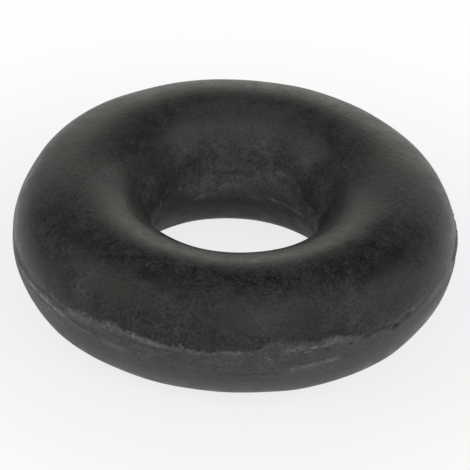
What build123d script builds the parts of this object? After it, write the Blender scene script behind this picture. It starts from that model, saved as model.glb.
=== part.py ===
import os

from build123d import *

# A moulded rubber ring that lies flat, centred on the origin with its axis along Z.
# Sizes are in millimetres.
inside_diameter = 6.0  # across the land round the hole
section_width = 5.0  # from the land round the hole to the land round the outside
section_height = 5.06  # from the underside to the top
outer_land_height = 0.7  # flat band round the outside, where the mould's flash was trimmed off
inner_land_height = 0.9  # the same flat band round the hole

# Places of the section's corners and crowns
inner_radius = inside_diameter / 2
outer_radius = inner_radius + section_width
crown_radius = (inner_radius + outer_radius) / 2
crown_height = section_height / 2

# The section stands in the XZ plane and is turned once round Z
with BuildPart() as o_ring:
    with BuildSketch(Plane.XZ):
        with BuildLine():
            # Cavity of the upper mould half, from one land over the crown to the other
            upper = ThreePointArc(
                (outer_radius, outer_land_height / 2),
                (crown_radius, crown_height),
                (inner_radius, inner_land_height / 2),
            )
            # Cavity of the lower mould half, under the crown on the same two lands
            lower = ThreePointArc(
                (inner_radius, -inner_land_height / 2),
                (crown_radius, -crown_height),
                (outer_radius, -outer_land_height / 2),
            )
            Line(upper @ 1, lower @ 0)
            Line(lower @ 1, upper @ 0)
        make_face()
    revolve(axis=Axis.Z)

o_ring.part.label = "o_ring"

os.makedirs("parts", exist_ok=True)
export_step(o_ring.part, "parts/o_ring.step")
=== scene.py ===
import math

import bpy
from mathutils import Matrix, Vector


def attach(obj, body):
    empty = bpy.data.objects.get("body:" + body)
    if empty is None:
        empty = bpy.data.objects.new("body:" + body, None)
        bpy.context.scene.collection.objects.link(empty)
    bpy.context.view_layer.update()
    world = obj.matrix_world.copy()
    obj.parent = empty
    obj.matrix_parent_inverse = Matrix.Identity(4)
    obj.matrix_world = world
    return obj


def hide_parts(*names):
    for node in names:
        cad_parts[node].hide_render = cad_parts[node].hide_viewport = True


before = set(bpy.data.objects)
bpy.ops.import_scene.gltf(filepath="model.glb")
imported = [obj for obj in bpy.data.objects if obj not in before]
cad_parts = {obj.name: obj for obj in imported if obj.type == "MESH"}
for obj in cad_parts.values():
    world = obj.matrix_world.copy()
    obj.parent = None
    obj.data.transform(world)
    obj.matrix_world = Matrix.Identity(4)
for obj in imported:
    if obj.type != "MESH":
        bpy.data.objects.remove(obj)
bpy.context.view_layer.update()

# Lengths below are in millimetres, and are turned into metres where the mesh is made
MM = 0.001

# The moulded ring, as in the solid that it replaces
INSIDE_DIAMETER = 6.0
SECTION_WIDTH = 5.0
OUTER_LAND_HEIGHT = 0.7
INNER_LAND_HEIGHT = 0.9
MIDDLE_RADIUS = (INSIDE_DIAMETER + SECTION_WIDTH) / 2

# The section's circle, which the two lands cut off
CIRCLE_SHIFT = (OUTER_LAND_HEIGHT**2 - INNER_LAND_HEIGHT**2) / (8 * SECTION_WIDTH)
CIRCLE_RADIUS = math.hypot(SECTION_WIDTH / 2 - CIRCLE_SHIFT, OUTER_LAND_HEIGHT / 2)
REST_HEIGHT = -CIRCLE_RADIUS

# Steps of the ring's mesh. Its rows crowd together at the lands, most of all at the outer one. Where
# its edges meet, points nearer than the reach become one.
STEPS_ROUND = 1000
STEPS_OVER = 98
CROWD_OUTSIDE = 0.2
CROWD_BOTH = 0.55
SEAM_REACH = 1e-4

# The photograph's view: 470 pixels wide, looking down on the ring, which leans slightly to the right
PHOTO_WIDTH = 470
PHOTO_SCALE = 27.7  # pixels for each millimetre
RING_CENTRE_X = 234.2
RING_CENTRE_Y = 235.6
CAMERA_ELEVATION = 34.5
CAMERA_ROLL = 2.69
CAMERA_DISTANCE = 120.0
CAMERA_NEAR = 1.0
CAMERA_FAR = 2000.0

# Upper edge of the paler skin left on the outer land, where the flash tore off: degrees round from the
# front with the right positive, and height. The range is the most that a height may be, up or down.
TORN_EDGE = [
    (-180, 0.33), (-120, 0.36), (-95, 0.25), (-80, 0.12), (-73, 0.02), (-68, -0.05), (-62, -0.02),
    (-57, 0.05), (-52, 0.05), (-49.5, 0.0), (-47.5, 0.17), (-44.5, 0.28), (-42, 0.34), (-36, 0.42),
    (-30, 0.46), (-23.5, 0.42), (-16, 0.32), (-11, 0.37), (-7, 0.31), (-1, 0.40), (7, 0.45), (9.5, 0.62),
    (11.5, 0.77), (16, 0.72), (22, 0.60), (24, 0.53), (27, 0.63), (30, 0.55), (34, 0.40), (38, 0.24),
    (44, 0.18), (48, -0.05), (51, 0.04), (57, 0.13), (62, 0.27), (67, 0.37), (90, 0.33), (120, 0.36),
    (180, 0.33),
]
TORN_EDGE_RANGE = 1.0

# Where that edge is crumbly: from and to in degrees, width of the crumbs, and how far they stand out
CRUMBS = [
    (-54, -29, 0.23, 0.070),
    (-36, -18, 0.14, 0.065),
    (-20, -6, 0.09, 0.060),
    (-9, 5, 0.07, 0.050),
    (24, 34, 0.12, 0.030),
    (84, 120, 0.08, 0.035),
    (132, 176, 0.10, 0.055),
    (-172, -128, 0.10, 0.055),
]

# Lines of torn flash: from and to in degrees, height at each end, width, and how far they stand out
LINES = [
    (-64, -47, 0.18, 0.24, 0.07, 0.030),
    (-52, -34, 0.10, 0.15, 0.15, 0.028),
    (14, 23.5, 0.40, 0.34, 0.06, 0.050),
    (24, 31.5, 0.36, 0.38, 0.07, 0.055),
    (100, 150, -0.33, -0.30, 0.07, 0.035),
    (-150, -100, -0.30, -0.36, 0.07, 0.035),
]

# Smooth ridges where the flash only bent over, and low mould lines, in the same way
RIDGES = [
    (-80, -64, -0.08, -0.16, 0.12, 0.055),
    (-69, -54, -0.17, -0.06, 0.11, 0.062),
    (-60, -47, -0.06, -0.20, 0.10, 0.062),
    (-53, -26, -0.20, -0.37, 0.08, 0.030),
    (-72, -50, -0.42, -0.34, 0.09, 0.022),
    (-66, -46, -0.62, -0.58, 0.12, 0.020),
    (15.5, 31.5, -0.43, -0.29, 0.10, 0.048),
    (-16, 12, -0.40, -0.42, 0.10, 0.006),
    (60, 90, -0.20, -0.34, 0.08, 0.020),
    (80, 98, 0.22, 0.06, 0.14, 0.060),
]

# The same round the hole, in degrees round from the back with the right positive
HOLE_RIDGES = [
    (-20, 6, 0.56, 0.56, 0.06, 0.010),
    (7, 26, -0.42, -0.18, 0.10, 0.014),
    (20, 60, -0.22, -0.17, 0.06, 0.045),
    (21, 40, -0.42, -0.27, 0.06, 0.014),
    (-40, -12, -0.28, -0.22, 0.12, 0.014),
    (-150, -90, 0.44, 0.40, 0.07, 0.020),
    (100, 165, -0.40, -0.44, 0.06, 0.020),
]

# Grooves that run round the outer land, in the same way but with their depth
GROOVES = [
    (-74, -52, 0.15, 0.10, 0.07, 0.015),
    (-70, -51, -0.34, -0.24, 0.05, 0.012),
    (-6, 16, -0.50, -0.53, 0.06, 0.022),
    (-34, -12, 0.14, 0.10, 0.06, 0.014),
    (34, 50, 0.36, 0.22, 0.06, 0.020),
    (100, 170, 0.12, 0.06, 0.06, 0.018),
    (-170, -110, 0.06, 0.14, 0.06, 0.018),
]

# Nicks in the outer land: degrees round, height, half the width in degrees, half the height, and depth
NICKS = [
    (-42, -0.17, 0.6, 0.05, 0.03),
    (-33, 0.28, 0.9, 0.06, 0.03),
    (-25, 0.27, 1.2, 0.05, 0.03),
    (-16.5, 0.20, 1.0, 0.05, 0.03),
    (-4, 0.26, 0.9, 0.05, 0.03),
    (12.5, 0.20, 0.8, 0.08, 0.03),
    (16.5, 0.24, 0.6, 0.06, 0.03),
    (17.6, 0.33, 1.3, 0.04, 0.04),
    (19.2, 0.22, 0.9, 0.07, 0.04),
    (22.6, 0.23, 0.9, 0.04, 0.03),
    (25.8, 0.20, 1.3, 0.10, 0.04),
    (29, 0.26, 1.0, 0.05, 0.03),
    (33, 0.13, 1.1, 0.09, 0.05),
    (24, 0.67, 1.8, 0.09, 0.03),
    (30.5, 0.69, 2.0, 0.15, 0.04),
    (32.6, 0.54, 1.3, 0.09, 0.04),
    (38.5, 0.20, 2.4, 0.12, 0.05),
    (41.8, 0.27, 1.1, 0.08, 0.04),
    (43.6, 0.32, 1.2, 0.09, 0.04),
    (48, 0.04, 2.0, 0.17, 0.05),
    (52.6, 0.26, 2.8, 0.14, 0.04),
    (80, 0.10, 1.4, 0.10, 0.04),
    (118, -0.12, 1.0, 0.08, 0.04),
    (150, 0.22, 1.6, 0.08, 0.04),
    (-165, 0.05, 1.0, 0.10, 0.04),
    (-122, 0.18, 1.4, 0.08, 0.04),
]

# Crumbs that stand by themselves, in the same way but with how far they stand out
SPOTS = [
    (-64, 0.15, 1.6, 0.07, 0.04),
    (-57.5, 0.30, 1.2, 0.07, 0.05),
    (-53.5, 0.29, 1.5, 0.08, 0.04),
    (-50.6, 0.25, 1.5, 0.07, 0.05),
    (-12.4, 0.40, 0.6, 0.11, 0.06),
    (-14.6, 0.34, 0.6, 0.08, 0.05),
    (9.6, 0.20, 1.2, 0.05, 0.04),
    (10.4, 0.09, 0.8, 0.07, 0.05),
    (18.8, 0.44, 1.8, 0.05, 0.04),
    (22.1, 0.36, 2.3, 0.06, 0.09),
    (20.8, 0.25, 1.8, 0.06, 0.05),
    (27, 0.41, 2.0, 0.06, 0.06),
    (29, 0.49, 2.2, 0.10, 0.05),
    (30.6, 0.35, 1.2, 0.06, 0.06),
    (48.6, 0.27, 0.9, 0.07, 0.04),
    (54.8, 0.35, 1.1, 0.08, 0.06),
    (95, 0.20, 1.2, 0.07, 0.04),
    (-140, -0.05, 1.4, 0.07, 0.04),
]

# Nicks and lone crumbs in the hole, in the same ways but round from the back
HOLE_NICKS = [
    (-61, 0.45, 6, 0.10, 0.05),
    (-54, 0.41, 5, 0.09, 0.05),
    (53.5, 0.35, 3, 0.08, 0.04),
    (56, 0.20, 2, 0.07, 0.03),
    (68, 0.33, 4, 0.08, 0.04),
    (60, 0.93, 4, 0.08, 0.03),
    (150, 0.30, 5, 0.09, 0.04),
]
HOLE_SPOTS = [
    (-66, 0.42, 2.6, 0.12, 0.05),
    (-49, 0.40, 2.4, 0.06, 0.05),
    (-44, 0.45, 3.4, 0.07, 0.06),
    (-57.5, 0.60, 5, 0.05, 0.02),
    (46.5, 0.63, 3.2, 0.07, 0.05),
    (63.5, 0.42, 1.8, 0.14, 0.05),
    (81.5, 0.66, 2.6, 0.11, 0.05),
    (-6.5, 0.22, 1.8, 0.07, 0.03),
    (31, 0.93, 4, 0.08, 0.02),
    (15, 0.55, 2.4, 0.07, 0.02),
]

# Pale marks (above zero) and dark ones (below) on the outer side, partly dust and wiped rubber and partly
# painted light:
# painted highlights and floor reflections near the rims and the lower edge, and painted shade on the
# dome. Given as degrees round from the front and up over the section from the outer land, half the width
# and half the height in degrees, and strength
OUTER_DUST_AND_LIGHT_MARKS = [
    (-44, 32, 5, 22, 1.20),
    (-16, 20, 7, 9, 0.45),
    (12.5, 60, 5, 9, 0.70),
    (-17, 12, 7, 4, 0.50),
    (35, 22, 8, 8, 0.35),
    (9, 23, 4, 7, 0.40),
    (14, -12, 9, 8, 0.50),
    (50, -38, 12, 10, 0.80),
    (-18.5, 34, 2.4, 20, 0.30),
    (10, 38, 6, 22, 0.15),
    (35, 34, 5, 20, 0.45),
    (14, 72, 3, 10, 0.30),
    (-31, 66, 3, 10, 0.20),
    (-92, 44, 18, 46, 1.15),
    (90, 48, 14, 46, 0.70),
    (25, -14, 10, 12, 0.55),
    (-28, -14, 8, 14, 0.50),
    # Painted reflection of the floor along the lower left edge, with dust
    (-66, -8, 26, 22, 4.00),
    (-56, -26, 28, 22, 2.20),
    (74, -16, 20, 16, 0.50),
    (41, 12, 9, 5, 0.50),
    (0, -36, 80, 14, 1.20),
    # Painted highlights along the front and left inner rims, and painted shade just inside them
    (0, 110, 85, 11, 2.40),
    (-68, 108, 14, 6, 0.80),
    (-62, 122, 16, 7, -0.80),
    (60, 122, 12, 6, -0.40),
    (-46, 3, 6, 5, 1.20),
    # Darker patches on the dome, partly wiped rubber and partly painted shade
    (-50, 64, 12, 10, -0.45),
    (-35, 42, 11, 16, -0.55),
    (62, 80, 18, 9, -0.65),
    (45, 78, 16, 22, -0.15),
    (55, 56, 12, 12, -0.25),
    (39, 87, 16, 9, -0.60),
    (38, 64, 8, 9, -0.30),
    (45, 52, 9, 9, -0.50),
    (3, 60, 5, 7, -0.55),
    (22, 35, 9, 15, -0.70),
    (-27, 38, 7, 16, -0.25),
    (-1, 37, 8, 11, -0.60),
    (62, 54, 20, 18, -0.50),
    (-74, 64, 12, 9, -0.35),
    (30, 98, 24, 6, -0.30),
    (-3, -22, 20, 16, -0.60),
    (-24, 63, 9, 9, -0.50),
    (-12, 58, 6, 7, -0.35),
    (-74, 24, 12, 14, -0.35),
    (20, 15.5, 12, 3, -0.45),
    (-59, 58, 12, 11, -0.45),
    (-44, 74, 9, 7, -0.35),
    (-30, 62, 12, 8, -0.30),
    (4, -9, 8, 2.5, -0.70),
    (0, -11, 18, 6, -0.50),
    (67, 4, 12, 8, -0.60),
]

# The same on the inner side, in degrees round from the back and up over the section from the inner land.
# These too are partly dust and partly painted light: painted reflected light across the hole's wall, and
# painted shade where a highlight is too strong
HOLE_DUST_AND_LIGHT_MARKS = [
    (0, 48, 54, 42, 1.50),
    (0, 72, 70, 12, 0.35),
    (-36, 41, 10, 14, 0.80),
    (16, 38, 11, 11, 0.80),
    (-30, 38, 11, 11, 0.60),
    (45, 38, 9, 14, 1.40),
    (-86, 69, 12, 13, 1.10),
    # Painted shade under too strong a highlight
    (-100, 55, 11, 14, -0.50),
    (-28, 56, 10, 20, 0.70),
    (14, 48, 6, 12, 0.40),
    (43, 47, 16, 24, 1.20),
    (-36, 48, 14, 20, 0.80),
    (-40, 34, 7, 10, 0.50),
    # Painted reflected light across the middle of the hole's wall, with dust
    (0, 8, 72, 26, 3.0),
    (0, 11, 56, 13, 0.90),
    (0, -3, 45, 8, 0.90),
    (4, -9, 62, 7, 1.60),
    (-74, 28, 24, 18, 1.10),
    (74, 28, 24, 18, 1.10),
    (30, 20, 18, 13, 1.20),
    (-24, 11, 7, 5, 0.90),
    (-23, -5, 9, 4, 0.90),
    (-9, 14, 13, 4, -2.90),
    (-3, 6.5, 15, 5, -1.20),
    (5, 14.5, 14, 4.5, -2.70),
    (28, -4, 30, 3, 0.25),
    (72, 38, 6, 8, 0.40),
    (-82, 62, 8, 8, 0.30),
    (96, 66, 10, 8, 1.10),
    (101, 54, 9, 9, -0.40),
    (-10, 3, 36, 8, 2.20),
    (-22, -5, 16, 6, 1.50),
    (38, 6, 16, 9, 2.00),
    (50, -1, 12, 8, 1.80),
    (-31, 4, 14, 10, 1.30),
    (-56, 15, 7, 8, 0.80),
    (33, 37, 6, 7, -0.30),
    (0, 62, 7, 9, -0.35),
    (-22, 35, 9, 8, -0.35),
    (0, 33, 8, 10, -0.35),
    (48, 66, 9, 6, -0.25),
    (-66, 66, 7, 12, -0.25),
]

# Gentle bulges and hollows of the soft ring, placed in the same ways as the marks, with their height
OUTER_BULGES = [
    (-90, 0, 22, 26, -0.04),
    (-56, -28, 18, 26, 0.04),
    (-46, -34, 22, 28, 0.08),
    (42, -33, 24, 30, 0.08),
    (22, -42, 14, 24, 0.05),
    (0, -40, 50, 28, 0.03),
    (-130, 46, 26, 34, 0.07),
    (-102, 22, 18, 30, -0.045),
    (0, 112, 140, 30, -0.05),
]
HOLE_BULGES = [
    (0, -34, 150, 34, -0.07),
]

# Glowing panels of the light tent: degrees round from the front with the right positive,
# degrees up from the floor, brightness, and how sharply they fade
PANELS = [
    ("back", 180, 8, 0.93, 11),
    ("back_right", 150, 10, 0.38, 10),
    ("right", 90, 8, 0.69, 10),
    ("right_high", 72, 30, 0.40, 10),
    ("front_right", 36, 30, 0.46, 10),
    ("front", 0, 30, 0.69, 10),
    ("front_high", 22, 54, 0.53, 10),
    ("left", -74, 34, 1.18, 10),
    ("back_left", -150, 26, 0.22, 10),
    ("top", 0, 90, 0.15, 10),
]
LIGHT_LEVEL = 1.35
LIGHT_COLOUR = (1.0, 0.985, 0.905, 1)
WHITE = (1, 1, 1, 1)

# The floor, and what share of its look is plain white. The camera sees it least white by the ring, for
# its shadow, and all white past the radius. Reflections show it whitest by the ring.
FLOOR_HALF_WIDTH = 500.0
FLOOR_COLOUR = (0.92, 0.92, 0.92, 1)
FLOOR_FADE_RADIUS = 20.0
FLOOR_SEEN = 0.80
FLOOR_MIRRORED = 0.94
FAR_FLOOR_MIRRORED = 0.58
HOLE_MIRRORED = 0.58

# Noise patterns: size of their features in millimetres, detail, and roughness. The streaks and the
# round lines are stretched, so the numbers on dust give the size of theirs.
NOISES = {
    "wander": (0.9, 2.0, 0.5),
    "ragged": (0.22, 2.0, 0.6),
    "sway": (0.2, 1.0, 0.5),
    "gaps": (0.16, 2.0, 0.55),
    "clusters": (0.6, 1.0, 0.5),
    "round lines": (1.0, 2.0, 0.6),
    "streaks": (1.0, 3.0, 0.6),
    "lumps": (3.2, 1.0, 0.5),
    "mottle": (0.6, 3.0, 0.9),
    "grain": (0.10, 1.0, 0.8),
    "flecks": (0.12, 2.0, 0.7),
    "specks": (0.13, 2.0, 0.6),
    "reddish": (1.7, 1.0, 0.5),
    "bluish": (1.3, 1.0, 0.5),
}

# The lands' own marks fade in over this distance, outward or inward from the section's middle
LAND_FADE_START = 1.4
LAND_FADE_END = 1.8

# Lines and marks: share of a line's length that each end fades over, and shares of the half width of
# a line and of a mark that have its full strength
LINE_FADE = 0.12
LINE_CREST = 0.3
MARK_CREST = 0.1

# Torn flash: how far its lines wander in height, how ragged they are and what share of that ridges and
# nicks have, how far nicks sway round the ring, and how many times as far in the hole. A ramp gives
# where it starts and ends, and the values there where these aren't 0 and 1.
WANDER_HEIGHT = 0.06
RAGGED_HEIGHT = 0.14
RAGGED_SHARE = 0.4
SWAY_DEGREES = 3.0
HOLE_SWAY = 2.0
CRUMBS_BELOW_EDGE = 0.06
GAP_RAMP = (0.34, 0.56, 0.25, 1.0)
CLUSTER_RAMP = (0.36, 0.6, 0.3, 1.0)

# The paler skin: how it ends at the torn edge, how far in over the section it goes, and its thickness
SKIN_EDGE_RAMP = (-0.03, 0.04, 1.0, 0.0)
SKIN_OUTWARD_RAMP = (-0.2, 0.6)
SKIN_THICKNESS = 0.02
LUMP_HEIGHT = 0.08

# Dust: its strength on ridges, streaks that run over the section, and fine lines that run round the
# skin, and the most that the hole's pale marks, dust and painted light, count for where they make the
# texture fainter. Turns say how often a pattern changes round the ring.
RIDGE_STRENGTH = 90.0
STREAK_TURNS = 16.0
STREAK_STRETCH = 0.25
STREAK_STRENGTH = 0.5
ROUND_TURNS = 5.0
ROUND_HEIGHT = 0.10
ROUND_STRENGTH = 3.0
MOST_HOLE_DUST_AND_LIGHT = 3.0

# Where the mottled texture is fainter, and by how much: high on the back, on skin, and on the hole's pale
# marks of dust and painted light
BACK_RAMP = (0.0, 4.0)
TOP_RAMP = (1.4, 2.2)
FAINTER_ON_BACK = 0.5
FAINTER_ON_SKIN = 0.45
FAINTER_ON_HOLE_DUST_AND_LIGHT = 0.18

# Rubber: reflectance of its dusty black skin and of torn crumbs, and how strongly its textures show
RUBBER_TONE = 0.0195
CRUMB_TONE = 0.14
RUBBER_IOR = 1.42
MOTTLE_STRENGTH = 3.6
GRAIN_STRENGTH = 3.0
SPECK_STRENGTH = 0.9
SPECK_RAMP = (0.58, 0.72)
SKIN_STRENGTH = 1.9
LEAST_DUST_AND_LIGHT = 0.2
LEAST_TEXTURE = 0.3

# Crumbs have their tone at this height, and higher ones up to so many times that. A nick's ramp, which
# paints shade into nicks and grooves, goes from depth to the share of the rubber's tone that it keeps.
CRUMB_HEIGHT = 0.06
PALEST_CRUMB = 1.5
FLECK_RAMP = (0.42, 0.62, 0.15, 1.0)
NICK_SHADE_RAMP = (0.0, 0.045, 1.0, 0.28)

# Slight tints: red and blue as shares of green, and how far they vary over the rubber
RED_SHARE = 1.01
RED_RANGE = 0.28
BLUE_SHARE = 1.12
BLUE_RANGE = 0.36
CRUMB_BLUE_SHARE = 1.08

# Roughness of clean rubber, what its dust, crumbs, inner land and mottle add, and the most in all
CLEAN_ROUGHNESS = 0.32
DUST_ROUGHNESS = 0.06
CRUMB_ROUGHNESS = 0.3
LAND_ROUGHNESS = 0.25
MOTTLE_ROUGHNESS = 0.3
MOST_ROUGHNESS = 0.9

# Relief of the rubber that is finer than its mesh
GRAIN_RELIEF = 0.6
MOTTLE_RELIEF = 1.2
RELIEF_STRENGTH = 0.8
RELIEF_DEPTH = 0.016


class Field:
    """A number that varies over a surface, worked out by Math nodes but written as plain arithmetic."""

    def __init__(self, tree, socket):
        self.tree = tree
        self.socket = socket

    def combine(self, operation, *others):
        maths = self.tree.nodes.new("ShaderNodeMath")
        maths.operation = operation
        self.tree.links.new(self.socket, maths.inputs[0])
        for place, other in enumerate(others, start=1):
            set_input(self.tree, maths.inputs[place], other)
        return Field(self.tree, maths.outputs[0])

    def __add__(self, other):
        return self.combine("ADD", other)

    def __sub__(self, other):
        return self.combine("SUBTRACT", other)

    def __mul__(self, other):
        return self.combine("MULTIPLY", other)

    def __truediv__(self, other):
        return self.combine("DIVIDE", other)

    def sine(self):
        return self.combine("SINE")

    def cosine(self):
        return self.combine("COSINE")

    def size(self):
        return self.combine("ABSOLUTE")

    def at_least(self, other):
        return self.combine("MAXIMUM", other)

    def at_most(self, other):
        return self.combine("MINIMUM", other)

    def ramp(self, start, end, low=0.0, high=1.0):
        """Goes smoothly from low to high as the value goes from start to end."""
        ranged = self.tree.nodes.new("ShaderNodeMapRange")
        ranged.interpolation_type = "SMOOTHSTEP"
        settings = {"Value": self, "From Min": start, "From Max": end, "To Min": low, "To Max": high}
        for name, value in settings.items():
            set_input(self.tree, ranged.inputs[name], value)
        return Field(self.tree, ranged.outputs["Result"])


def set_input(tree, socket, value):
    """Links a field or an output to an input, or sets the input to a plain value."""
    if isinstance(value, Field):
        value = value.socket
    if isinstance(value, bpy.types.NodeSocket):
        tree.links.new(value, socket)
    elif value is not None:
        socket.default_value = value


def add_node(tree, kind, inputs=None, **settings):
    """A new node with its settings, and its inputs by name or number."""
    made = tree.nodes.new(kind)
    for name, value in settings.items():
        setattr(made, name, value)
    for key, value in (inputs or {}).items():
        set_input(tree, made.inputs[key], value)
    return made


def new_tree(name, inputs, outputs):
    """A Geometry Nodes tree with named inputs, each given as (name, kind, first value)."""
    tree = bpy.data.node_groups.new(name, "GeometryNodeTree")
    for label, kind, value in inputs:
        socket = tree.interface.new_socket(label, in_out="INPUT", socket_type="NodeSocket" + kind)
        if value is not None:
            socket.default_value = value
    for label, kind in outputs:
        tree.interface.new_socket(label, in_out="OUTPUT", socket_type="NodeSocket" + kind)
    start = tree.nodes.new("NodeGroupInput")
    end = tree.nodes.new("NodeGroupOutput")
    return tree, {label: Field(tree, start.outputs[label]) for label, _, _ in inputs}, end


def torn_line_tree():
    """How far a line of torn flash stands out, at an angle round the ring and a height on it."""
    inputs = [
        ("Angle", "Float", 0.0),
        ("Height", "Float", 0.0),
        ("From", "Float", 0.0),
        ("To", "Float", 10.0),
        ("Start height", "Float", 0.0),
        ("End height", "Float", 0.0),
        ("Width", "Float", 0.06),
        ("Reach", "Float", 0.05),
    ]
    tree, given, end = new_tree("Torn line", inputs, [("Reach", "Float")])
    along = (given["Angle"] - given["From"]) / (given["To"] - given["From"])
    line = given["Start height"] + (given["End height"] - given["Start height"]) * along
    across = ((given["Height"] - line) / given["Width"]).size()
    ends = along.ramp(0.0, LINE_FADE) * along.ramp(1.0 - LINE_FADE, 1.0, 1.0, 0.0)
    crest = across.ramp(LINE_CREST, 1.0, 1.0, 0.0)
    set_input(tree, end.inputs["Reach"], given["Reach"] * ends * crest)
    return tree


def soft_mark_tree():
    """A soft oval mark: its strength in the middle, and nothing outside it."""
    inputs = [
        ("Angle", "Float", 0.0),
        ("Up", "Float", 0.0),
        ("Middle angle", "Float", 0.0),
        ("Middle up", "Float", 0.0),
        ("Half width", "Float", 5.0),
        ("Half height", "Float", 5.0),
        ("Strength", "Float", 1.0),
    ]
    tree, given, end = new_tree("Soft mark", inputs, [("Strength", "Float")])
    sideways = (given["Angle"] - given["Middle angle"]) / given["Half width"]
    upwards = (given["Up"] - given["Middle up"]) / given["Half height"]
    away = (sideways * sideways + upwards * upwards).combine("SQRT")
    crest = away.ramp(MARK_CREST, 1.0, 1.0, 0.0)
    set_input(tree, end.inputs["Strength"], given["Strength"] * crest)
    return tree


def marks_field(tree, group, angle, up, marks):
    """The sum of soft marks. Their heights are in the measure of up: millimetres or degrees."""
    total = None
    for middle_angle, middle_up, half_width, half_height, strength in marks:
        mark = add_node(
            tree,
            "GeometryNodeGroup",
            {
                "Angle": angle,
                "Up": up,
                "Middle angle": float(middle_angle),
                "Middle up": float(middle_up),
                "Half width": float(half_width),
                "Half height": float(half_height),
                "Strength": strength,
            },
            node_tree=group,
        )
        there = Field(tree, mark.outputs[0])
        total = there if total is None else total + there
    return total


def lines_field(tree, group, angle, height, lines):
    """The strongest of several torn lines."""
    strongest = None
    for first, last, low, high, width, reach in lines:
        line = add_node(
            tree,
            "GeometryNodeGroup",
            {
                "Angle": angle,
                "Height": height,
                "From": float(first),
                "To": float(last),
                "Start height": low,
                "End height": high,
                "Width": width,
                "Reach": reach,
            },
            node_tree=group,
        )
        there = Field(tree, line.outputs[0])
        strongest = there if strongest is None else strongest.at_least(there)
    return strongest


def edge_field(tree, angle):
    """Height of the torn edge at an angle round from the front, as a curve in a square of side 1."""
    curve = tree.nodes.new("ShaderNodeFloatCurve")
    points = curve.mapping.curves[0].points
    middle = 0.5
    tall = 2 * TORN_EDGE_RANGE
    places = [(at / 360 + middle, height / tall + middle) for at, height in TORN_EDGE]
    while len(points) < len(places):
        points.new(middle, middle)
    for point, place in zip(points, places):
        point.location = place
        point.handle_type = "AUTO_CLAMPED"
    curve.mapping.update()
    set_input(tree, curve.inputs["Value"], angle / 360 + middle)
    return (Field(tree, curve.outputs[0]) - middle) * tall


def noise_field(tree, place, name):
    """Noise from 0 to 1, of the pattern with this name."""
    size, detail, roughness = NOISES[name]
    made = add_node(
        tree,
        "ShaderNodeTexNoise",
        {"Vector": place, "Scale": 1.0 / size, "Detail": detail, "Roughness": roughness},
        label=name,
    )
    return Field(tree, made.outputs[0])


def swing_field(tree, place, name):
    """The same noise, as a swing to both sides of zero."""
    return noise_field(tree, place, name) - 0.5


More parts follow.
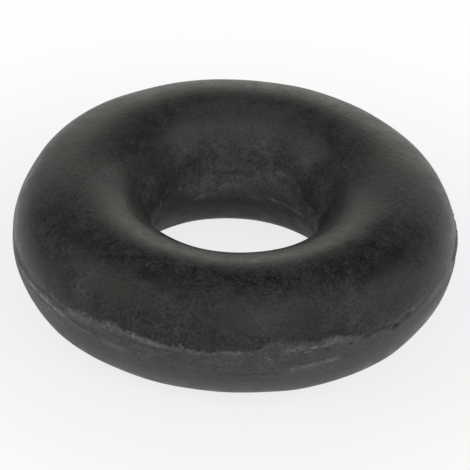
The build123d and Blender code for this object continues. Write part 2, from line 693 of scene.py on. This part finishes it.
def ring_tree(torn_line, soft_mark):
    """The ring's section turned round Z, uneven as rubber is, with torn flash on its lands."""
    inputs = [
        ("Middle radius", "Float", MIDDLE_RADIUS),
        ("Circle shift", "Float", CIRCLE_SHIFT),
        ("Circle radius", "Float", CIRCLE_RADIUS),
        ("Inner land radius", "Float", INSIDE_DIAMETER / 2),
        ("Outer land radius", "Float", INSIDE_DIAMETER / 2 + SECTION_WIDTH),
        ("Steps round", "Int", STEPS_ROUND),
        ("Steps over", "Int", STEPS_OVER),
        ("Rubber", "Material", None),
    ]
    tree, given, end = new_tree("Moulded ring", inputs, [("Geometry", "Geometry")])

    # A flat sheet, one unit each way, becomes the ring: X goes round, and Y over the section
    sheet = add_node(
        tree,
        "GeometryNodeMeshGrid",
        {
            "Size X": 1.0,
            "Size Y": 1.0,
            "Vertices X": given["Steps round"] + 1,
            "Vertices Y": given["Steps over"] + 1,
        },
    )
    flat_place = tree.nodes.new("GeometryNodeInputPosition").outputs[0]
    flat = add_node(tree, "ShaderNodeSeparateXYZ", {0: flat_place})
    turn = Field(tree, flat.outputs["X"]) * math.tau
    even = Field(tree, flat.outputs["Y"]) * math.tau
    over = even - even.sine() * CROWD_OUTSIDE - (even * 2).sine() * (CROWD_BOTH / 2)
    radius = (
        (over.cosine() * given["Circle radius"] + given["Middle radius"] + given["Circle shift"])
        .at_least(given["Inner land radius"])
        .at_most(given["Outer land radius"])
    )
    height = over.sine() * given["Circle radius"]
    turned = add_node(
        tree,
        "ShaderNodeCombineXYZ",
        {0: radius * turn.sine(), 1: radius * turn.cosine() * -1, 2: height},
    ).outputs[0]
    shaped = add_node(
        tree,
        "GeometryNodeSetPosition",
        {"Geometry": sheet.outputs["Mesh"], "Position": turned},
    )
    closed = add_node(
        tree,
        "GeometryNodeMergeByDistance",
        {"Geometry": shaped.outputs[0], "Distance": SEAM_REACH},
    )

    # The same places again, now as millimetres on the finished ring, and as angles round and over it
    position = tree.nodes.new("GeometryNodeInputPosition").outputs[0]
    xyz = add_node(tree, "ShaderNodeSeparateXYZ", {0: position})
    x, y, z = (Field(tree, xyz.outputs[name]) for name in "XYZ")
    from_axis = (x * x + y * y).combine("SQRT")
    outward = from_axis - given["Middle radius"]
    degrees = 180 / math.pi
    from_front = x.combine("ARCTAN2", y * -1) * degrees
    from_back = x.combine("ARCTAN2", y) * degrees
    up_outside = z.combine("ARCTAN2", outward) * degrees
    up_inside = z.combine("ARCTAN2", outward * -1) * degrees
    on_outer_land = outward.ramp(LAND_FADE_START, LAND_FADE_END)
    on_inner_land = outward.ramp(-LAND_FADE_END, -LAND_FADE_START, 1.0, 0.0)

    # Torn flash: ragged lines of crumbs, and smoother ridges, grooves, nicks and lone crumbs
    wander = swing_field(tree, position, "wander") * WANDER_HEIGHT
    ragged = swing_field(tree, position, "ragged") * RAGGED_HEIGHT
    height = z + wander + ragged
    edge = edge_field(tree, from_front)
    crumbs = lines_field(
        tree,
        torn_line,
        from_front,
        height - edge + CRUMBS_BELOW_EDGE,
        [(first, last, 0.0, 0.0, width, reach) for first, last, width, reach in CRUMBS],
    )
    lines = lines_field(tree, torn_line, from_front, height, LINES)
    level = z + wander + ragged * RAGGED_SHARE
    sway = swing_field(tree, position, "sway") * SWAY_DEGREES
    marked_front = from_front + sway
    marked_back = from_back + sway * HOLE_SWAY
    ridges = lines_field(tree, torn_line, from_front, level, RIDGES) * on_outer_land
    hole_ridges = lines_field(tree, torn_line, from_back, level, HOLE_RIDGES) * on_inner_land
    grooves = lines_field(tree, torn_line, from_front, level, GROOVES)
    gaps = noise_field(tree, position, "gaps").ramp(*GAP_RAMP)
    clusters = noise_field(tree, position, "clusters").ramp(*CLUSTER_RAMP)
    torn = crumbs.at_least(lines) * clusters * on_outer_land
    spots = marks_field(tree, soft_mark, marked_front, level, SPOTS) * on_outer_land
    hole_spots = marks_field(tree, soft_mark, marked_back, level, HOLE_SPOTS) * on_inner_land
    nicks = marks_field(tree, soft_mark, marked_front, level, NICKS)
    nicks = nicks.at_least(grooves) * on_outer_land
    hole_nicks = marks_field(tree, soft_mark, marked_back, level, HOLE_NICKS) * on_inner_land

    # Dust and painted light: the paler skin below the torn edge with fine lines on it, soft marks that
    # are partly dust and partly painted highlights, reflections and shade, and streaks
    skin = (height - edge).ramp(*SKIN_EDGE_RAMP) * outward.ramp(*SKIN_OUTWARD_RAMP)
    round_place = add_node(
        tree,
        "ShaderNodeCombineXYZ",
        {0: x / from_axis * ROUND_TURNS, 1: y / from_axis * ROUND_TURNS, 2: z / ROUND_HEIGHT},
    )
    round_lines = swing_field(tree, round_place.outputs[0], "round lines") * skin * ROUND_STRENGTH
    marks = marks_field(tree, soft_mark, from_front, up_outside, OUTER_DUST_AND_LIGHT_MARKS)
    hole_marks = marks_field(tree, soft_mark, from_back, up_inside, HOLE_DUST_AND_LIGHT_MARKS)
    hole_dust_and_light = hole_marks.at_least(0.0).at_most(MOST_HOLE_DUST_AND_LIGHT)
    streak_place = add_node(
        tree,
        "ShaderNodeCombineXYZ",
        {0: x / from_axis * STREAK_TURNS, 1: y / from_axis * STREAK_TURNS, 2: z * STREAK_STRETCH},
    )
    streaks = swing_field(tree, streak_place.outputs[0], "streaks") * STREAK_STRENGTH

    # Soft unevenness of the moulding
    lumps = swing_field(tree, position, "lumps") * LUMP_HEIGHT
    bulges = marks_field(tree, soft_mark, from_front, up_outside, OUTER_BULGES)
    bulges = bulges + marks_field(tree, soft_mark, from_back, up_inside, HOLE_BULGES)

    # What the material reads, and how far the surface moves along its normal
    ridge = ridges + hole_ridges
    spot = spots + hole_spots
    pit = nicks + hole_nicks
    # Dust together with the painted highlights, reflections and shade of the marks
    dust_and_painted_light = marks + hole_marks + streaks + round_lines + ridge * RIDGE_STRENGTH
    shift = torn * gaps + ridge + spot + skin * SKIN_THICKNESS - pit + lumps + bulges
    normal = tree.nodes.new("GeometryNodeInputNormal").outputs[0]
    push = add_node(tree, "ShaderNodeVectorMath", {0: normal, "Scale": shift}, operation="SCALE")
    fainter_on_back = y.ramp(*BACK_RAMP) * z.ramp(*TOP_RAMP) * -FAINTER_ON_BACK
    texture = fainter_on_back - skin * FAINTER_ON_SKIN - hole_dust_and_light * FAINTER_ON_HOLE_DUST_AND_LIGHT + 1.0
    stored = {
        "torn": torn,
        "spot": spot,
        "pit": pit,
        "skin": skin,
        "dust_and_painted_light": dust_and_painted_light,
        "texture": texture,
        "dull": on_inner_land,
    }
    marked = closed
    for name, value in stored.items():
        marked = add_node(
            tree,
            "GeometryNodeStoreNamedAttribute",
            {"Geometry": marked.outputs[0], "Name": name, "Value": value},
            data_type="FLOAT",
            domain="POINT",
        )
    uneven = add_node(
        tree,
        "GeometryNodeSetPosition",
        {"Geometry": marked.outputs[0], "Offset": push.outputs[0]},
    )
    smooth = add_node(tree, "GeometryNodeSetShadeSmooth", {"Geometry": uneven.outputs[0]})
    metres = add_node(
        tree,
        "GeometryNodeTransform",
        {"Geometry": smooth.outputs[0], "Scale": (MM, MM, MM)},
    )
    real = add_node(tree, "GeometryNodeRealizeInstances", {"Geometry": metres.outputs[0]})
    dressed = add_node(
        tree,
        "GeometryNodeSetMaterial",
        {"Geometry": real.outputs[0], "Material": given["Rubber"]},
    )
    set_input(tree, end.inputs["Geometry"], dressed.outputs[0])
    return tree


def plain_mesh(name, tree, material):
    """What the tree makes, as a plain mesh object with no modifier."""
    holder = bpy.data.objects.new(name + "_rule", bpy.data.meshes.new(name + "_rule"))
    bpy.context.scene.collection.objects.link(holder)
    modifier = holder.modifiers.new("Ring", "NODES")
    modifier.node_group = tree
    for item in tree.interface.items_tree:
        if item.in_out == "INPUT" and item.socket_type == "NodeSocketMaterial":
            modifier[item.identifier] = material
    graph = bpy.context.evaluated_depsgraph_get()
    mesh = bpy.data.meshes.new_from_object(holder.evaluated_get(graph), depsgraph=graph)
    holder.modifiers.remove(modifier)
    bpy.data.objects.remove(holder)
    mesh.name = name
    piece = bpy.data.objects.new(name, mesh)
    bpy.context.scene.collection.objects.link(piece)
    return piece


def new_material(name):
    """A node material with its shader, and its Object coordinates in millimetres."""
    material = bpy.data.materials.new(name)
    material.use_nodes = True
    tree = material.node_tree
    shader = tree.nodes["Principled BSDF"]
    coordinates = tree.nodes.new("ShaderNodeTexCoord").outputs["Object"]
    enlarged = {0: coordinates, "Scale": 1 / MM}
    place = add_node(tree, "ShaderNodeVectorMath", enlarged, operation="SCALE").outputs[0]
    return material, tree, shader, place


def black_rubber():
    """Moulded black rubber, mottled and slightly dusty: paler below the torn edge, palest on crumbs. Its
    pale and dark marks also hold painted highlights, reflections and shade, and its nicks and grooves
    painted shade.
    """
    material, tree, shader, place = new_material("black_rubber")
    torn, spot, pit, skin, dust_and_painted_light, texture_share, dull = (
        Field(tree, add_node(tree, "ShaderNodeAttribute", attribute_name=name).outputs["Fac"])
        for name in ("torn", "spot", "pit", "skin", "dust_and_painted_light", "texture", "dull")
    )
    mottle = swing_field(tree, place, "mottle")
    grain = swing_field(tree, place, "grain")
    fleck = noise_field(tree, place, "flecks").ramp(*FLECK_RAMP)
    specks = noise_field(tree, place, "specks").ramp(*SPECK_RAMP) * SPECK_STRENGTH
    pattern = mottle * MOTTLE_STRENGTH + grain * GRAIN_STRENGTH + specks
    texture = pattern * texture_share + 1.0
    # Dust, and the painted highlights, reflections and shade of the marks, make the tone paler or darker
    dust_and_light_level = (dust_and_painted_light + skin * SKIN_STRENGTH + 1.0).at_least(LEAST_DUST_AND_LIGHT)
    cover = dust_and_light_level * texture.at_least(LEAST_TEXTURE)
    crumb = (torn / CRUMB_HEIGHT * fleck).at_least(spot / CRUMB_HEIGHT).at_most(PALEST_CRUMB)

    # Painted shade: nicks and grooves darken the tone with their depth
    base = cover * RUBBER_TONE * pit.ramp(*NICK_SHADE_RAMP)
    pale = crumb * CRUMB_TONE
    redness = swing_field(tree, place, "reddish") * RED_RANGE + RED_SHARE
    blueness = swing_field(tree, place, "bluish") * BLUE_RANGE + BLUE_SHARE
    colour = add_node(
        tree,
        "ShaderNodeCombineColor",
        {
            "Red": base * redness + pale,
            "Green": base + pale,
            "Blue": base * blueness + pale * CRUMB_BLUE_SHARE,
        },
    )
    set_input(tree, shader.inputs["Base Color"], colour.outputs[0])

    roughness = (
        cover * DUST_ROUGHNESS
        + crumb * CRUMB_ROUGHNESS
        + dull * LAND_ROUGHNESS
        + mottle * MOTTLE_ROUGHNESS
        + CLEAN_ROUGHNESS
    )
    set_input(tree, shader.inputs["Roughness"], roughness.at_most(MOST_ROUGHNESS))
    shader.inputs["IOR"].default_value = RUBBER_IOR

    relief = grain * GRAIN_RELIEF + mottle * MOTTLE_RELIEF
    bump = add_node(
        tree,
        "ShaderNodeBump",
        {"Height": relief, "Strength": RELIEF_STRENGTH, "Distance": RELIEF_DEPTH * MM},
    )
    set_input(tree, shader.inputs["Normal"], bump.outputs[0])
    return material


def pale_floor():
    """A wide pale floor, level with the ring's underside, which looks mostly plain white."""
    half = FLOOR_HALF_WIDTH * MM
    level = REST_HEIGHT * MM
    mesh = bpy.data.meshes.new("floor")
    corners = [
        (-half, -half, level),
        (half, -half, level),
        (half, half, level),
        (-half, half, level),
    ]
    mesh.from_pydata(corners, [], [(0, 1, 2, 3)])
    floor = bpy.data.objects.new("floor", mesh)
    bpy.context.scene.collection.objects.link(floor)
    material = bpy.data.materials.new("pale_floor")
    material.use_nodes = True
    tree = material.node_tree
    tree.nodes.clear()
    rays = add_node(tree, "ShaderNodeLightPath")
    place = tree.nodes.new("ShaderNodeTexCoord").outputs["Object"]
    length = add_node(tree, "ShaderNodeVectorMath", {0: place}, operation="LENGTH")
    away = Field(tree, length.outputs["Value"]) / MM
    hole_radius = INSIDE_DIAMETER / 2
    ring_radius = hole_radius + SECTION_WIDTH
    white_to_camera = away.ramp(ring_radius, FLOOR_FADE_RADIUS, FLOOR_SEEN, 1.0)
    near_white = away.ramp(hole_radius, ring_radius, HOLE_MIRRORED, FLOOR_MIRRORED)
    far_white = away.ramp(ring_radius, FLOOR_FADE_RADIUS, FLOOR_MIRRORED, FAR_FLOOR_MIRRORED)
    white_in_gloss = near_white.at_most(far_white)
    seen = Field(tree, rays.outputs["Is Camera Ray"]) * white_to_camera
    mirrored = Field(tree, rays.outputs["Is Glossy Ray"]) * white_in_gloss
    shaded = add_node(tree, "ShaderNodeBsdfDiffuse", {"Color": FLOOR_COLOUR})
    white = add_node(tree, "ShaderNodeEmission", {"Color": WHITE, "Strength": 1.0})
    mixed = add_node(
        tree,
        "ShaderNodeMixShader",
        {0: seen + mirrored, 1: shaded.outputs[0], 2: white.outputs[0]},
    )
    output = tree.nodes.new("ShaderNodeOutputMaterial")
    tree.links.new(mixed.outputs[0], output.inputs["Surface"])
    mesh.materials.append(material)


def towards(azimuth, elevation):
    """The direction at so many degrees round from the front, right positive, and so many up."""
    turn = math.radians(azimuth)
    rise = math.radians(elevation)
    level = math.cos(rise)
    return Vector((math.sin(turn) * level, -math.cos(turn) * level, math.sin(rise)))


def light_tent():
    """Dark surroundings with soft glowing panels, which the camera sees as plain white."""
    world = bpy.data.worlds.new("light_tent")
    bpy.context.scene.world = world
    world.use_nodes = True
    tree = world.node_tree
    tree.nodes.clear()
    direction = tree.nodes.new("ShaderNodeTexCoord").outputs["Generated"]
    level = None
    for name, azimuth, elevation, brightness, sharpness in PANELS:
        facing = add_node(
            tree,
            "ShaderNodeVectorMath",
            {0: direction, 1: towards(azimuth, elevation)},
            operation="DOT_PRODUCT",
            label=name,
        )
        fading = (Field(tree, facing.outputs["Value"]) - 1.0) * sharpness
        glow = fading.combine("EXPONENT") * (brightness * LIGHT_LEVEL)
        level = glow if level is None else level + glow
    seen = add_node(tree, "ShaderNodeLightPath").outputs["Is Camera Ray"]
    tent = add_node(tree, "ShaderNodeBackground", {"Color": LIGHT_COLOUR, "Strength": level})
    white = add_node(tree, "ShaderNodeBackground", {"Color": WHITE, "Strength": 1.0})
    mixed = add_node(
        tree,
        "ShaderNodeMixShader",
        {0: seen, 1: tent.outputs[0], 2: white.outputs[0]},
    )
    output = tree.nodes.new("ShaderNodeOutputWorld")
    tree.links.new(mixed.outputs[0], output.inputs["Surface"])


def photo_camera():
    """A camera at the photograph's angle, with the ring where the photograph has it."""
    data = bpy.data.cameras.new("camera")
    data.type = "ORTHO"
    data.ortho_scale = PHOTO_WIDTH / PHOTO_SCALE * MM
    data.clip_start = CAMERA_NEAR * MM
    data.clip_end = CAMERA_FAR * MM
    camera = bpy.data.objects.new("camera", data)
    bpy.context.scene.collection.objects.link(camera)
    rise = math.radians(CAMERA_ELEVATION)
    back = Vector((0, -math.cos(rise), math.sin(rise)))
    roll = Matrix.Rotation(math.radians(CAMERA_ROLL), 3, "Z")
    turn = back.to_track_quat("Z", "Y").to_matrix() @ roll
    right, up = turn.col[0], turn.col[1]
    off_right = (PHOTO_WIDTH / 2 - RING_CENTRE_X) / PHOTO_SCALE
    off_up = (RING_CENTRE_Y - PHOTO_WIDTH / 2) / PHOTO_SCALE
    camera.rotation_euler = turn.to_euler()
    camera.location = (back * CAMERA_DISTANCE + right * off_right + up * off_up) * MM
    bpy.context.scene.camera = camera


photo_camera()
light_tent()
pale_floor()

ring = plain_mesh("rubber_ring", ring_tree(torn_line_tree(), soft_mark_tree()), black_rubber())
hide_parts("o_ring")
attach(ring, "root")

bpy.context.scene.view_settings.view_transform = "Standard"
